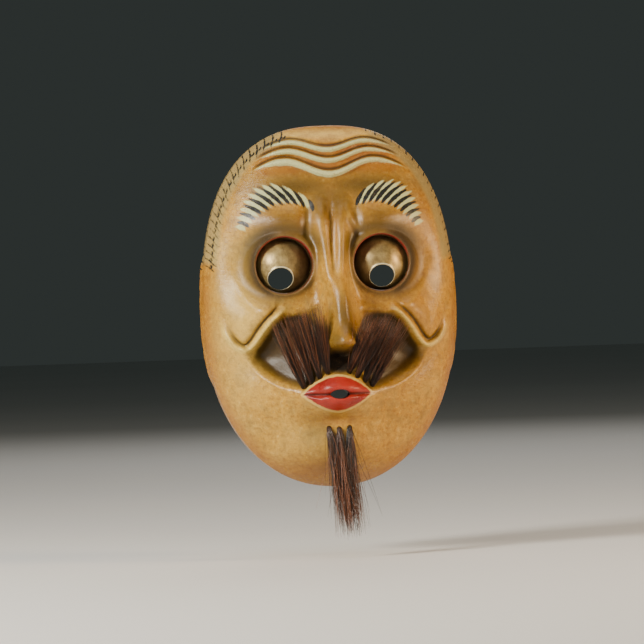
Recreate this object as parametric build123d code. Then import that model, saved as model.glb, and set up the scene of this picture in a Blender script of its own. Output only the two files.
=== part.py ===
from build123d import *
import math
import os

# A carved wooden comic noh mask, in millimetres, as it is worn: the face looks along -Y,
# +Z is up and +X is the viewer's right. The origin is the middle of the flat back rim, at Y = 0.

# Driving dimensions of the carved face
half_width = 70.0
half_height = 100.2
crown_depth = 44.0
rim_width = 9.0
wall = 8.0

# Eyes: an opening in the lid ring, and a gilt metal ball held in a recess from behind
eye_x = 26.8
eye_z = 22.8
lid_radius = 15.3
ball_clearance = 0.4
ball_height = 9.4
metal = 1.2
flange_width = 2.6
ledge_depth = 34.0
pupil_half_width = 6.8
pupil_half_height = 6.0
pupil_drop = 7.3
pupil_shift_left = 2.2
pupil_shift_right = 0.2

# Nose and mouth: the long nose leans a little to one side at its tip
nose_lean = 3.2
mouth_z = -48.4
mouth_hole_half_width = 5.3
mouth_hole_half_height = 2.6

# Hair: each tuft is planted in a hole through the wood and wedged by a peg from behind
hole_radius = 1.9
hair_radius = 1.7
root_depth = 6.0
moustache_tilt = 30.0
moustache_length = 36.0
moustache_tip_radius = 3.0
beard_tilt = -35.0
beard_tip_z = -125.0
beard_tip_radius = 3.0
peg_radius = 1.75
peg_stub = 1.5
tufts_each_side = 4

# Holes for the head cord, through the side walls beside the ears
cord_hole_radius = 2.5
cord_hole_z = 15.0
cord_hole_y = -7.0


def outline_radius(angle, inset=0.0):
    """Distance from the middle of the face to its outline, which is a little squarer at the crown."""
    power = 2.35 + 0.2 * math.sin(angle)
    across = abs(math.cos(angle) / (half_width - inset)) ** power
    along = abs(math.sin(angle) / (half_height - inset)) ** power
    return (across + along) ** (-1.0 / power)


def reach(x, z, inset=0.0):
    """How far a point lies from the middle, where 1 is the outline."""
    return math.hypot(x, z) / outline_radius(math.atan2(z, x), inset)


def mound(x, z, centre_x, centre_z, spread_x, spread_z):
    """A smooth bump of height 1."""
    across = (x - centre_x) / spread_x
    along = (z - centre_z) / spread_z
    return math.exp(-across * across - along * along)


def step(value, low, high):
    """Rises smoothly from 0 at low to 1 at high."""
    t = min(max((value - low) / (high - low), 0.0), 1.0)
    return t * t * (3.0 - 2.0 * t)


def dome(distance, height, fullness):
    """The plain shell, which falls away steeply towards the outline."""
    steep = 0.985
    near = min(fullness * distance, steep)
    beyond = max(fullness * distance - steep, 0.0)
    return height * (1.0 - near * near) ** 0.4 - height * beyond


def nose(x, z):
    """The long nose: a ridge that rises from the brow to its tip, with a wing on each side."""
    x = x - nose_lean * step(z, 34.0, -18.0)
    rise = 5.0 + 19.0 * step(z, 42.0, -24.0)
    end = step(z, -28.0, -20.0)
    spread = 5.5 + 2.5 * step(z, 30.0, -20.0)
    ridge = rise * end * step(z, 60.0, 34.0) * math.exp(-(abs(x) / spread) ** 2.4)
    wings = 4.0 * end * mound(abs(x), z, 7.0, -19.0, 3.4, 5.5)
    return ridge + wings


def lid_ring(x, z):
    """Depth of the raised ring of wood round an eye, which falls away outside its crest."""
    distance = math.hypot(abs(x) - eye_x, z - eye_z)
    crest = 42.0 - 0.06 * (abs(x) - eye_x)
    outside = max(distance - lid_radius - 1.6, 0.0)
    return crest - 0.6 * outside * outside


def blend_max(first, second):
    """The larger of two depths, rounded where they cross."""
    sharpness = 0.9
    larger = max(first, second)
    return larger + math.log(1.0 + math.exp(-sharpness * abs(first - second))) / sharpness


def front_depth(x, z):
    """Depth of the carved face in front of the rim plane."""
    side = abs(x)
    depth = dome(reach(x, z), crown_depth, 0.97)
    depth += nose(x, z)
    depth += 5.0 * mound(side, z, 26.0, 47.0, 22.0, 10.0)
    depth -= 3.0 * mound(side, z, 52.0, 20.0, 8.0, 18.0)
    depth += 4.5 * mound(side, z, 40.0, -4.0, 18.0, 11.0)
    depth -= 6.0 * mound(side, z, 37.0, -27.0, 13.0, 10.0)
    depth += 15.0 * mound(x, z, 0.0, mouth_z, 27.0, 19.0)
    depth += 4.0 * mound(x, z, 0.0, mouth_z, 17.0, 8.0)
    depth += 12.0 * mound(x, z, 0.0, -81.0, 29.0, 14.0)
    return blend_max(depth, lid_ring(x, z))


def back_depth(x, z):
    """Depth of the hollow behind the face, which follows its large forms."""
    depth = dome(reach(x, z, rim_width), crown_depth - wall, 0.95)
    depth += 8.0 * mound(x, z, 0.0, -8.0, 9.0, 22.0)
    depth += 13.0 * mound(x, z, 0.0, mouth_z, 24.0, 16.0)
    depth += 7.0 * mound(x, z, 0.0, -78.0, 22.0, 11.0)
    depth -= 4.0 * mound(abs(x), z, eye_x, eye_z, 17.0, 17.0)
    depth -= 3.5 * mound(abs(x), z, 37.0, -27.0, 13.0, 10.0)
    return depth


def grid_place(i, j, columns, rows, inset):
    """Where a grid point lies in front view: a square grid stretched over the outline, finest at the nose."""
    across = 2.0 * i / columns - 1.0
    u = across * (0.6 + 0.4 * across * across)
    v = 2.0 * j / rows - 1.0
    disc_x = u * math.sqrt(1.0 - v * v / 2.0)
    disc_z = v * math.sqrt(1.0 - u * u / 2.0)
    distance = math.hypot(disc_x, disc_z)
    share = 1.25 * distance - 0.25 * distance ** 3
    angle = math.atan2(disc_z, disc_x)
    radius = share * outline_radius(angle, inset)
    return radius * math.cos(angle), radius * math.sin(angle)


def carved_grid(depth_at, columns, rows, inset):
    """Points of a carved surface, as a list of columns."""
    grid = []
    for i in range(columns + 1):
        column = []
        for j in range(rows + 1):
            x, z = grid_place(i, j, columns, rows, inset)
            column.append(Vector(x, -depth_at(x, z), z))
        grid.append(column)
    return grid


def facet(*corners):
    """One flat facet."""
    return Face(Wire.make_polygon(corners, close=True))


def edge_loop(grid):
    """The points round the border of a grid."""
    columns = len(grid) - 1
    rows = len(grid[0]) - 1
    loop = [grid[i][0] for i in range(columns)]
    loop += [grid[columns][j] for j in range(rows)]
    loop += [grid[i][rows] for i in range(columns, 0, -1)]
    loop += [grid[0][j] for j in range(rows, 0, -1)]
    return loop


def carved_skin(grid, back_y):
    """The facets of a carved surface and of the straight wall from its border back to back_y."""
    skin = []
    for i in range(len(grid) - 1):
        for j in range(len(grid[0]) - 1):
            low_left, low_right = grid[i][j], grid[i + 1][j]
            high_left, high_right = grid[i][j + 1], grid[i + 1][j + 1]
            if (low_left - high_right).length < (low_right - high_left).length:
                skin.append(facet(low_left, low_right, high_right))
                skin.append(facet(low_left, high_right, high_left))
            else:
                skin.append(facet(low_left, low_right, high_left))
                skin.append(facet(low_right, high_right, high_left))
    loop = edge_loop(grid)
    back = [Vector(point.X, back_y, point.Z) for point in loop]
    for k in range(len(loop)):
        after = (k + 1) % len(loop)
        skin.append(facet(loop[k], loop[after], back[after], back[k]))
    return skin, Wire.make_polygon(back, close=True)


def carved_block():
    """The carved face and its hollow back, joined by the flat rim."""
    front, outer_edge = carved_skin(carved_grid(front_depth, 36, 46, 0.0), 0.0)
    back, inner_edge = carved_skin(carved_grid(back_depth, 20, 26, rim_width), 0.0)
    rim = Face(outer_edge, [inner_edge])
    return Solid(Shell(front + back + [rim]))


def rod(start, direction, length, radius):
    """A round rod from a point along a direction."""
    place = Plane(origin=start, z_dir=direction)
    return place * Cylinder(radius, length, align=(Align.CENTER, Align.CENTER, Align.MIN))


def along_y(shape_radius_x, shape_radius_z, centre_x, centre_z, y_front, y_back):
    """An oval bar along Y."""
    place = Plane(origin=(centre_x, y_back, centre_z), x_dir=(1, 0, 0), z_dir=(0, -1, 0))
    return extrude(place * Ellipse(shape_radius_x, shape_radius_z), amount=y_back - y_front)


def moustache_roots(side):
    """Roots along the upper lip, from the corner of the mouth to its middle, and their hair directions."""
    roots = []
    for i in range(tufts_each_side):
        share = i / (tufts_each_side - 1)
        x = 18.9 - 13.0 * share
        z = mouth_z + 4.2 + 7.6 * share
        lean = 21.0 - 11.0 * share if side < 0 else 27.0 - 8.0 * share
        root = Vector(side * x, -front_depth(side * x, z), z)
        tilt = math.radians(moustache_tilt)
        axis = Vector(side * 0.12, -math.cos(tilt), math.sin(tilt)).normalized()
        forward = -0.16 - 0.08 * share if side < 0 else -0.16 - 0.56 * share
        hair = Vector(side * math.sin(math.radians(lean)), forward, math.cos(math.radians(lean)))
        roots.append((root, axis, hair.normalized()))
    return roots


def beard_roots():
    """Three roots in the chin, and the directions in which they hang."""
    roots = []
    for place in (-1, 0, 1):
        x = 5.6 * place
        z = -68.0 + 0.6 * place * place
        root = Vector(x, -front_depth(x, z), z)
        tilt = math.radians(beard_tilt)
        axis = Vector(0.0, -math.cos(tilt), math.sin(tilt))
        hair = Vector(0.04 * place, -0.10, -1.0)
        roots.append((root, axis, hair.normalized()))
    return roots


def wall_run(root, axis):
    """Length of a hole from the front surface to the hollow, back along its axis."""
    length = 0.0
    pace = 0.1
    while length < 60.0:
        point = root - axis * length
        if -point.Y < back_depth(point.X, point.Z):
            return length
        length += pace
    return length


def tuft(root, axis, hair, root_radius, tip_radius, length):
    """A plain solid for a planted tuft: its root in the hole, and the widening fan of hair."""
    proud = 2.0
    bend = root + axis * proud
    solid = rod(root - axis * root_depth, axis, root_depth + proud, root_radius)
    solid += Location(bend) * Sphere(root_radius)
    place = Plane(origin=bend, z_dir=hair)
    solid += place * Cone(root_radius, tip_radius, length, align=(Align.CENTER, Align.CENTER, Align.MIN))
    return solid


def peg(root, axis):
    """A wooden peg that wedges a tuft from behind and stands a little proud inside the mask."""
    start = root - axis * (wall_run(root, axis) + peg_stub)
    length = wall_run(root, axis) + peg_stub - root_depth
    return rod(start, axis, length, peg_radius)


def eyeball(side):
    """A domed metal eye with a flange, pierced by its pupil."""
    radius = lid_radius - ball_clearance
    outer = (radius * radius + ball_height * ball_height) / (2.0 * ball_height)
    inner = outer - metal
    centre = ledge_depth + ball_height - outer
    inner_edge = math.sqrt(inner * inner - (ledge_depth - metal - centre) ** 2)
    outer_middle = outer * math.sin(0.5 * math.asin(radius / outer))
    outer_middle_depth = centre + math.sqrt(outer * outer - outer_middle * outer_middle)
    inner_middle = inner * math.sin(0.5 * math.asin(inner_edge / inner))
    inner_middle_depth = centre + math.sqrt(inner * inner - inner_middle * inner_middle)
    flange_edge = radius + flange_width
    top = (0.0, -ledge_depth - ball_height)
    shoulder = (radius, -ledge_depth)
    foot = (inner_edge, -ledge_depth + metal)
    under_top = (0.0, -ledge_depth - ball_height + metal)
    profile = Wire([
        Edge.make_three_point_arc(top, (outer_middle, -outer_middle_depth), shoulder),
        Edge.make_line(shoulder, (flange_edge, -ledge_depth)),
        Edge.make_line((flange_edge, -ledge_depth), (flange_edge, -ledge_depth + metal)),
        Edge.make_line((flange_edge, -ledge_depth + metal), foot),
        Edge.make_three_point_arc(foot, (inner_middle, -inner_middle_depth), under_top),
        Edge.make_line(under_top, top),
    ])
    eye = revolve(Face(profile), Axis.Y)
    return Location((side * eye_x, 0, eye_z)) * eye - pupil(side)


def pupil(side):
    """The sight hole through a metal eye."""
    shift = pupil_shift_left if side < 0 else pupil_shift_right
    return along_y(pupil_half_width, pupil_half_height, side * (eye_x + shift), eye_z - pupil_drop, -80.0, 5.0)


def eye_socket(side):
    """The opening in the lid ring, and the wider recess behind it for the flange."""
    opening = along_y(lid_radius, lid_radius, side * eye_x, eye_z, -80.0, 5.0)
    recess_radius = lid_radius - ball_clearance + flange_width + 0.4
    recess = along_y(recess_radius, recess_radius, side * eye_x, eye_z, -ledge_depth, 5.0)
    return opening, recess


def mask_shell():
    """The mask itself, carved from one block, hollow behind."""
    cuts = []
    for side in (-1, 1):
        cuts += eye_socket(side)
        hole_start = Vector(side * (half_width - 2.0 * rim_width), cord_hole_y, cord_hole_z)
        cuts.append(rod(hole_start, (side, 0, 0), 3.0 * rim_width, cord_hole_radius))
    cuts.append(along_y(mouth_hole_half_width, mouth_hole_half_height, 0.0, mouth_z, -80.0, 5.0))
    for root, axis, hair in moustache_roots(-1) + moustache_roots(1) + beard_roots():
        outside = 4.0
        run = wall_run(root, axis) + 2.0 * outside
        cuts.append(rod(root + axis * outside, axis * -1.0, run, hole_radius))
    return carved_block().cut(*cuts)


def write(name, shape):
    """Names a node and writes it."""
    export_step(shape, os.path.join("parts", name + ".step"))


def main():
    os.makedirs("parts", exist_ok=True)
    write("mask_shell", mask_shell())
    for side, word in ((-1, "left"), (1, "right")):
        write("eyeball_" + word, eyeball(side))
        pegs = []
        for number, (root, axis, hair) in enumerate(moustache_roots(side), start=1):
            hair_tuft = tuft(root, axis, hair, hair_radius, moustache_tip_radius, moustache_length)
            write("moustache_" + word + "_" + str(number), hair_tuft)
            pegs.append(peg(root, axis))
        write("moustache_pegs_" + word, Compound(children=pegs))
    beard_names = ("beard_left", "beard_centre", "beard_right")
    for name, (root, axis, hair) in zip(beard_names, beard_roots()):
        length = root.Z - beard_tip_z
        write(name, tuft(root, axis, hair, hair_radius, beard_tip_radius, length))
    write("beard_pegs", Compound(children=[peg(root, axis) for root, axis, hair in beard_roots()]))


main()
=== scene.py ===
from math import cos, log, pi, radians, sin, sqrt
import random
import bmesh
import bpy
import numpy as np
from mathutils import Matrix, Vector


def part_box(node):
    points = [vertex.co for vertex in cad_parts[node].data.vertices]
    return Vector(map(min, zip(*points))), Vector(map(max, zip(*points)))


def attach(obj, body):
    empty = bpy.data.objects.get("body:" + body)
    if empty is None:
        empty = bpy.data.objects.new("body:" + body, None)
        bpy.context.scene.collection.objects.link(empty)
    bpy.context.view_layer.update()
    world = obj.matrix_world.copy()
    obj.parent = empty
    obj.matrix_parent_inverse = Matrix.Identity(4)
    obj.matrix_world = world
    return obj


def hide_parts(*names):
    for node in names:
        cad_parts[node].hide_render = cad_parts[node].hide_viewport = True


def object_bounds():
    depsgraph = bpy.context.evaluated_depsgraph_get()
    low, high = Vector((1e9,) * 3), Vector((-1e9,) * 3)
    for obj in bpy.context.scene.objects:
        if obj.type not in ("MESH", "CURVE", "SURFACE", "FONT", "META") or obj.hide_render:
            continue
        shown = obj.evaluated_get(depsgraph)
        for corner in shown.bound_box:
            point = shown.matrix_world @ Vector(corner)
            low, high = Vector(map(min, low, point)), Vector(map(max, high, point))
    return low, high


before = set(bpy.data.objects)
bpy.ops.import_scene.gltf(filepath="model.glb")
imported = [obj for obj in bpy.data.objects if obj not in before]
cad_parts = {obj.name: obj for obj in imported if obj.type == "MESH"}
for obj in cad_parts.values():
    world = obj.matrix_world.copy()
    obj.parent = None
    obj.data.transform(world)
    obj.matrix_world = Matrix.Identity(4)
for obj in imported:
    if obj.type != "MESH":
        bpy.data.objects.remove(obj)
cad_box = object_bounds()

# The carving is worked out in millimetres, in the frame's own axes, and written in metres.
MM = 0.001
shell_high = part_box("mask_shell")[1]
half_width = shell_high.x / MM
half_height = shell_high.z / MM
eye_low, eye_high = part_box("eyeball_right")
eye_x = 0.5 * (eye_low.x + eye_high.x) / MM
eye_z = 0.5 * (eye_low.z + eye_high.z) / MM
ball_front = -eye_low.y / MM
ball_back = -eye_high.y / MM
flange_radius = 0.5 * (eye_high.x - eye_low.x) / MM

# The same proportions that the frame is carved to
crown_depth = 44.0
rim_width = 9.0
wall = 8.0
metal = 1.2
ledge_depth = ball_back + metal
ball_radius = flange_radius - 2.6
lid_radius = ball_radius + 0.4
recess_radius = flange_radius + 0.4
pupil_half_width = 6.8
pupil_half_height = 6.0
pupil_drop = 7.3
pupil_shift = {"left": -2.2, "right": 0.2}
nose_lean = 3.2
mouth_z = -48.4
mouth_hole_half_width = 5.3
mouth_hole_half_height = 2.6
cord_hole_radius = 2.5
cord_hole_z = 15.0
cord_hole_y = -7.0

# The shaped lips, which are only a swelling in the frame
mouth_x = -0.8
lip_half_width = 19.6
lip_rise = 10.2
lip_fall = 9.8

# How finely the front is carved: the back has half as many columns and rows
columns = 204
rows = 288

# What a painted measure says where nothing of its kind is near, and what bare wood inside the block has
far_outside = -9.0
unpainted = {"lip": far_outside, "ink": far_outside, "pale": far_outside}


def add_object(name, data):
    """A new object in the scene."""
    made = bpy.data.objects.new(name, data)
    bpy.context.collection.objects.link(made)
    return made


# ---- smooth helpers

def step(value, low, high):
    """Rises smoothly from 0 at low to 1 at high."""
    t = np.clip((value - low) / (high - low), 0.0, 1.0)
    return t * t * (3.0 - 2.0 * t)


def mound(x, z, centre_x, centre_z, spread_x, spread_z):
    """A smooth bump of height 1."""
    return np.exp(-((x - centre_x) / spread_x) ** 2 - ((z - centre_z) / spread_z) ** 2)


def heap(depth, x, z, mounds):
    """Adds smooth bumps to a depth. Each has a height, a middle and a spread."""
    for height, *place in mounds:
        depth = depth + height * mound(x, z, *place)
    return depth


def bell(value, middle, spread):
    """A smooth ridge of height 1 across one measure."""
    return np.exp(-((value - middle) / spread) ** 2)


def blend_max(first, second, sharpness=0.9):
    """The larger of two depths, rounded where they cross."""
    return np.maximum(first, second) + np.log1p(np.exp(-sharpness * np.abs(first - second))) / sharpness


def smooth_curve(corners, parts=10):
    """A smooth line through a few given corners."""
    points = np.array(corners, float)
    ends = np.vstack([2 * points[0] - points[1], points, 2 * points[-1] - points[-2]])
    line = []
    for k in range(1, len(ends) - 2):
        before, here, there, after = ends[k - 1], ends[k], ends[k + 1], ends[k + 2]
        for t in np.linspace(0.0, 1.0, parts, endpoint=False):
            line.append(0.5 * (2 * here + (there - before) * t
                               + (2 * before - 5 * here + 4 * there - after) * t * t
                               + (3 * here - before - 3 * there + after) * t ** 3))
    line.append(points[-1])
    return np.array(line)


def near_line(x, z, line):
    """Distance to a line, which side of it (positive on its left), and how far along it, from 0 to 1."""
    best = np.full(x.shape, 1e9)
    side = np.zeros(x.shape)
    along = np.zeros(x.shape)
    count = len(line) - 1
    for k in range(count):
        start, end = line[k], line[k + 1]
        run = end - start
        dx = x - start[0]
        dz = z - start[1]
        t = np.clip((dx * run[0] + dz * run[1]) / (run @ run), 0.0, 1.0)
        distance = np.hypot(dx - t * run[0], dz - t * run[1])
        nearer = distance < best
        best = np.where(nearer, distance, best)
        side = np.where(nearer, np.sign(run[0] * dz - run[1] * dx), side)
        along = np.where(nearer, (k + t) / count, along)
    return best, side, along


# ---- large forms

def outline_radius(angle, inset=0.0):
    """Distance from the middle of the face to its outline, which is a little squarer at the crown."""
    power = 2.35 + 0.2 * np.sin(angle)
    across = np.abs(np.cos(angle) / (half_width - inset)) ** power
    along = np.abs(np.sin(angle) / (half_height - inset)) ** power
    return (across + along) ** (-1.0 / power)


def reach(x, z, inset=0.0):
    """How far a point lies from the middle, where 1 is the outline."""
    return np.hypot(x, z) / outline_radius(np.arctan2(z, x), inset)


def dome(distance, height, fullness):
    """The plain shell, which falls away steeply towards the outline."""
    steep = 0.985
    near = np.minimum(fullness * distance, steep)
    beyond = np.maximum(fullness * distance - steep, 0.0)
    return height * (1.0 - near * near) ** 0.4 - height * beyond


def along_nose(x, z):
    """How far a point lies beside the middle of the nose, which leans to the right at its tip."""
    return x - nose_lean * step(z, 34.0, -18.0)


def nose(x, z):
    """The long nose, its wings and nostrils."""
    x = along_nose(x, z)
    rise = 5.0 + 19.0 * step(z, 42.0, -24.0)
    end = step(z, -28.0, -20.0)
    spread = 6.6 + 1.5 * step(z, 30.0, -20.0)
    ridge = rise * end * step(z, 60.0, 34.0) * np.exp(-np.abs(x / spread) ** 2.8)
    wings = 5.0 * end * mound(np.abs(x), z, 7.3, -19.5, 3.2, 4.6)
    crease = 1.6 * mound(np.abs(x), z, 10.6, -16.0, 1.4, 5.5)
    bulb = 2.6 * end * mound(x, z, 0.0, -19.5, 5.6, 6.0)
    saddle = 1.6 * mound(x, z, 0.0, -8.0, 5.0, 6.0)
    nostrils = 3.6 * mound(np.abs(x), z, 4.4, -26.2, 2.3, 1.5)
    return ridge + wings + bulb - saddle - crease - nostrils


brow_fold = smooth_curve([(9.0, 57.0), (10.4, 50.0), (12.0, 44.5), (16.5, 39.0)])


def root_ridges(x, z):
    """The broad fold left of the nose's root, the sharper one right of it, and the fold of the right brow."""
    window = step(z, 4.0, 20.0) * step(z, 64.0, 46.0)
    left = 3.2 * window * bell(x, -6.2, 4.3)
    right = 4.4 * bell(x, 5.4, 3.2) * bell(z, 34.0, 17.0)
    groove = 2.6 * window * bell(x, -0.7, 2.2)
    valley = 2.2 * bell(np.abs(x), 13.2, 3.2) * step(z, 26.0, 36.0) * step(z, 64.0, 50.0)
    far, _, along = near_line(x, z, brow_fold)
    fold = 1.9 * bell(far, 0.0, 1.7) * np.sin(np.pi * np.clip(along, 0.0, 1.0))
    return left + right + fold - groove - valley


def lid_ring(x, z):
    """Depth of the raised ring of wood round an eye, highest beside the nose."""
    distance = np.hypot(np.abs(x) - eye_x, z - eye_z)
    crest = 42.6 - 0.16 * (np.abs(x) - eye_x) + 0.04 * (z - eye_z)
    outside = np.maximum(distance - lid_radius - 0.9, 0.0)
    inside = np.maximum(lid_radius + 0.9 - distance, 0.0)
    return crest - 0.34 * outside * outside - 0.9 * inside * inside


def eye_surround(x, z):
    """The trough outside and below each lid ring, and the bag under it."""
    across = np.abs(x) - eye_x
    up = z - eye_z
    distance = np.hypot(across, up)
    outward = step(across / np.maximum(distance, 1.0), -0.35, 0.75)
    upward = up / np.maximum(distance, 1.0)
    below = step(upward, 0.2, -0.8)
    above = step(upward, 0.1, 0.8)
    weight = np.maximum(outward * (1.0 - 0.6 * above), 0.6 * below)
    trough = -1.2 * weight * bell(distance, 22.5, 5.6)
    bag = 1.5 * below * bell(distance, 27.5, 3.4)
    return trough + bag


# ---- fine carving

forehead_middle = 0.8


def ridge_height(side, dip, crest, end, crest_x, end_x):
    """Height on the forehead of one wave-shaped wrinkle: a dip, a crest on each side, and low ends."""
    rising = dip + (crest - dip) * np.sin(0.5 * np.pi * np.minimum(side / crest_x, 1.0)) ** 2
    falling = (crest - end) * np.clip((side - crest_x) / (end_x - crest_x), 0.0, 1.3) ** 2
    return rising - falling


# Of each wrinkle, the height of its dip, crest and end, how far out the crest and end are, and half its width
forehead_ridges = (
    (86.2, 90.9, 86.8, 21.0, 37.5, 1.35),
    (80.0, 85.8, 81.2, 22.5, 40.5, 1.45),
    (72.4, 79.9, 75.0, 24.5, 43.3, 1.85),
)


def forehead(x, z):
    """The three wrinkles: their relief, the distance inside their painted tops, and the grooves below."""
    relief = np.zeros(x.shape)
    inside = np.full(x.shape, far_outside)
    groove = np.zeros(x.shape)
    side = np.abs(x - forehead_middle)
    for dip, crest, end, crest_x, end_x, widest in forehead_ridges:
        line = ridge_height(side, dip, crest, end, crest_x, end_x)
        taper = 1.0 - step(side, end_x - 17.0, end_x)
        half = widest * (0.12 + 0.88 * taper) * (1.0 - 0.16 * np.sin(0.07 * x + end))
        offset = z - line
        top = step(half - offset, -0.1, 1.0)
        foot = step(offset + half, -0.6, 1.9)
        present = step(side, end_x + 1.0, end_x - 6.0)
        relief += 2.6 * present * top * foot * (0.35 + 0.65 * taper)
        groove = np.maximum(groove, present * bell(offset, half + 1.0, 0.75))
        inside = np.maximum(inside, np.where(present > 0.02, half - np.abs(offset) - 0.15, far_outside))
    return relief - 1.2 * groove, inside, groove


fold_line = smooth_curve([(27.0, 1.5), (33.0, -4.0), (38.0, -8.8), (42.0, -14.0), (45.3, -19.0),
                          (48.8, -22.6), (52.5, -23.0), (57.0, -20.0), (61.0, -14.0), (63.5, -7.0)])
hollow_line = smooth_curve([(51.0, -22.0), (47.0, -30.0), (42.5, -35.8), (36.8, -40.8), (29.0, -45.0),
                            (19.0, -48.5)])


def cheeks(x, z):
    """The sharp S-shaped fold of each cheek and the hollow under it.

    Gives the relief, the distance from the fold and its strength there, how far inside the hollow a point is,
    and its height over the hollow's lower edge.
    """
    side = np.abs(x) - 1.8 * np.sign(x)
    far, left, along = near_line(side, z, fold_line)
    offset = far * left
    fade = step(along, 0.0, 0.16) * (1.0 - 0.85 * step(along, 0.78, 1.0))
    ridge = 2.0 * fade * bell(offset, -0.2, 1.5)
    groove = -2.1 * fade * bell(offset, 3.0, 1.1)
    bulge = 1.2 * fade * bell(offset, 7.5, 4.0)
    low_far, low_left = near_line(side, z, hollow_line)[:2]
    above = -low_far * low_left
    inside = step(offset, -0.6, -8.0) * step(above, -0.5, 7.0) * step(side, 8.0, 20.0)
    inside = inside * (1.0 - step(z, -12.0, -1.0) * step(side, 34.0, 24.0))
    lip = 0.9 * bell(above, -1.2, 1.8) * step(side, 24.0, 34.0) * (offset < 2.0)
    relief = ridge + groove + bulge - 4.2 * inside + lip
    return relief, offset, fade, inside, above


def lip_height(share, up):
    """How far a lip reaches from the seam, where share is 0 in the middle and 1 at a corner."""
    return np.where(up > 0, lip_rise * (1.0 - share ** 1.9), lip_fall * (1.0 - share ** 1.7))


def lip_edge():
    """The outline of the lips, as a closed line of points."""
    share = np.linspace(-1.0, 1.0, 41)
    upper = np.column_stack([mouth_x + lip_half_width * share, mouth_z + lip_height(np.abs(share), 1)])
    lower = np.column_stack([mouth_x - lip_half_width * share, mouth_z - lip_height(np.abs(share), -1)])
    return np.vstack([upper, lower[1:]])


lip_line = lip_edge()


def lips(x, z):
    """The puckered lips: relief, and the distance inside their outline."""
    far = near_line(x, z, lip_line)[0]
    share = np.clip(np.abs(x - mouth_x) / lip_half_width, 0.0, 1.0)
    up = z - mouth_z
    height = lip_height(share, up)
    within = (np.abs(up) < height) & (share < 1.0)
    inside = np.where(within, far, -far)
    swell = np.clip(np.abs(up) / np.maximum(height, 0.3), 0.0, 1.0)
    body = 3.0 * np.sin(np.pi * swell ** 0.75) * (1.0 - share ** 2.0) * within
    border = 0.75 * bell(inside, 0.35, 0.75)
    seam = -1.0 * bell(up + 0.4 * np.sin(share * 3.0), 0.0, 0.8) * step(1.0 - share, 0.02, 0.3) * within
    funnel = -1.6 * mound(x, z, 0.0, mouth_z, 6.6, 3.4)
    chin_dip = -1.6 * mound(x, z, mouth_x, mouth_z - 14.5, 13.0, 3.4)
    return body + border + seam + funnel + chin_dip, inside


def base_front(x, z):
    """The large forms of the face. Dome and swellings are the frame's, and the nose is carved more finely."""
    side = np.abs(x)
    depth = dome(reach(x, z), crown_depth, 0.97)
    depth = heap(depth + nose(x, z), side, z, (
        (5.0, 26.0, 47.0, 22.0, 10.0), (-3.0, 52.0, 20.0, 8.0, 18.0),
        (4.5, 40.0, -4.0, 18.0, 11.0), (-6.0, 37.0, -27.0, 13.0, 10.0)))
    return heap(depth, x, z, (
        (15.0, 0.0, mouth_z, 27.0, 19.0), (4.0, 0.0, mouth_z, 17.0, 8.0), (12.0, 0.0, -81.0, 29.0, 14.0)))


def front_depth(x, z):
    """Depth of the finished carving in front of the rim plane."""
    depth = base_front(x, z)
    depth += root_ridges(x, z)
    depth += eye_surround(x, z)
    depth += forehead(x, z)[0] * step(1.0 - reach(x, z), 0.0, 0.04)
    depth += cheeks(x, z)[0]
    depth += lips(x, z)[0]
    return blend_max(depth, lid_ring(x, z), 1.6)


def back_depth(x, z):
    """Depth of the hollow behind the face, with the shallow marks of a round gouge."""
    depth = dome(reach(x, z, rim_width), crown_depth - wall, 0.95)
    depth = heap(depth, x, z, (
        (8.0, 0.0, -8.0, 9.0, 22.0), (13.0, 0.0, mouth_z, 24.0, 16.0), (7.0, 0.0, -78.0, 22.0, 11.0)))
    depth = heap(depth, np.abs(x), z, ((-4.0, eye_x, eye_z, 17.0, 17.0), (-3.5, 37.0, -27.0, 13.0, 10.0)))
    gouge = np.abs(np.sin(z * 0.42 + 0.9 * np.sin(x * 0.13))) * (0.6 + 0.4 * np.sin(x * 0.55 + z * 0.2))
    return depth + 0.22 * gouge


# ---- grids

def base_grid(across, along, inset):
    """Front-view places of a square grid stretched over the outline."""
    u, v = np.meshgrid(np.linspace(-1, 1, across + 1), np.linspace(-1, 1, along + 1), indexing="ij")
    disc_x = u * np.sqrt(1.0 - v * v / 2.0)
    disc_z = v * np.sqrt(1.0 - u * u / 2.0)
    distance = np.hypot(disc_x, disc_z)
    angle = np.arctan2(disc_z, disc_x)
    radius = distance * (1.1 - 0.1 * distance ** 2) * outline_radius(angle, inset)
    return radius * np.cos(angle), radius * np.sin(angle)


def nearest_block(x, z, centre, cells_x, cells_z):
    """The block of cells of the grid that lies nearest a place."""
    i, j = np.unravel_index(np.argmin(np.hypot(x - centre[0], z - centre[1])), x.shape)
    i_low = i - cells_x // 2
    j_low = j - cells_z // 2
    return i_low, i_low + cells_x, j_low, j_low + cells_z


def conform(x, z, block, centre, radii, outer):
    """Moves the grid so that a block's border lies on an oval, and smooths the change around it."""
    i_low, i_high, j_low, j_high = block
    i, j = np.indices(x.shape)
    a = (i - 0.5 * (i_low + i_high)) / (0.5 * (i_high - i_low))
    b = (j - 0.5 * (j_low + j_high)) / (0.5 * (j_high - j_low))
    size = np.maximum(np.abs(a), np.abs(b))
    safe_a = np.where(a == 0, 1e-9, a)
    safe_b = np.where(b == 0, 1e-9, b)
    quarter = np.pi / 4.0
    sideways = np.abs(a) >= np.abs(b)
    angle = np.where(sideways, quarter * b / safe_a, 2 * quarter - quarter * a / safe_b)
    angle = angle + np.where(np.where(sideways, a, b) < 0, np.pi, 0.0)
    weight = 1.0 - step(size, 1.0, outer)
    x_oval = centre[0] + size * radii[0] * np.cos(angle)
    z_oval = centre[1] + size * radii[1] * np.sin(angle)
    return weight * x_oval + (1 - weight) * x, weight * z_oval + (1 - weight) * z


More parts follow.
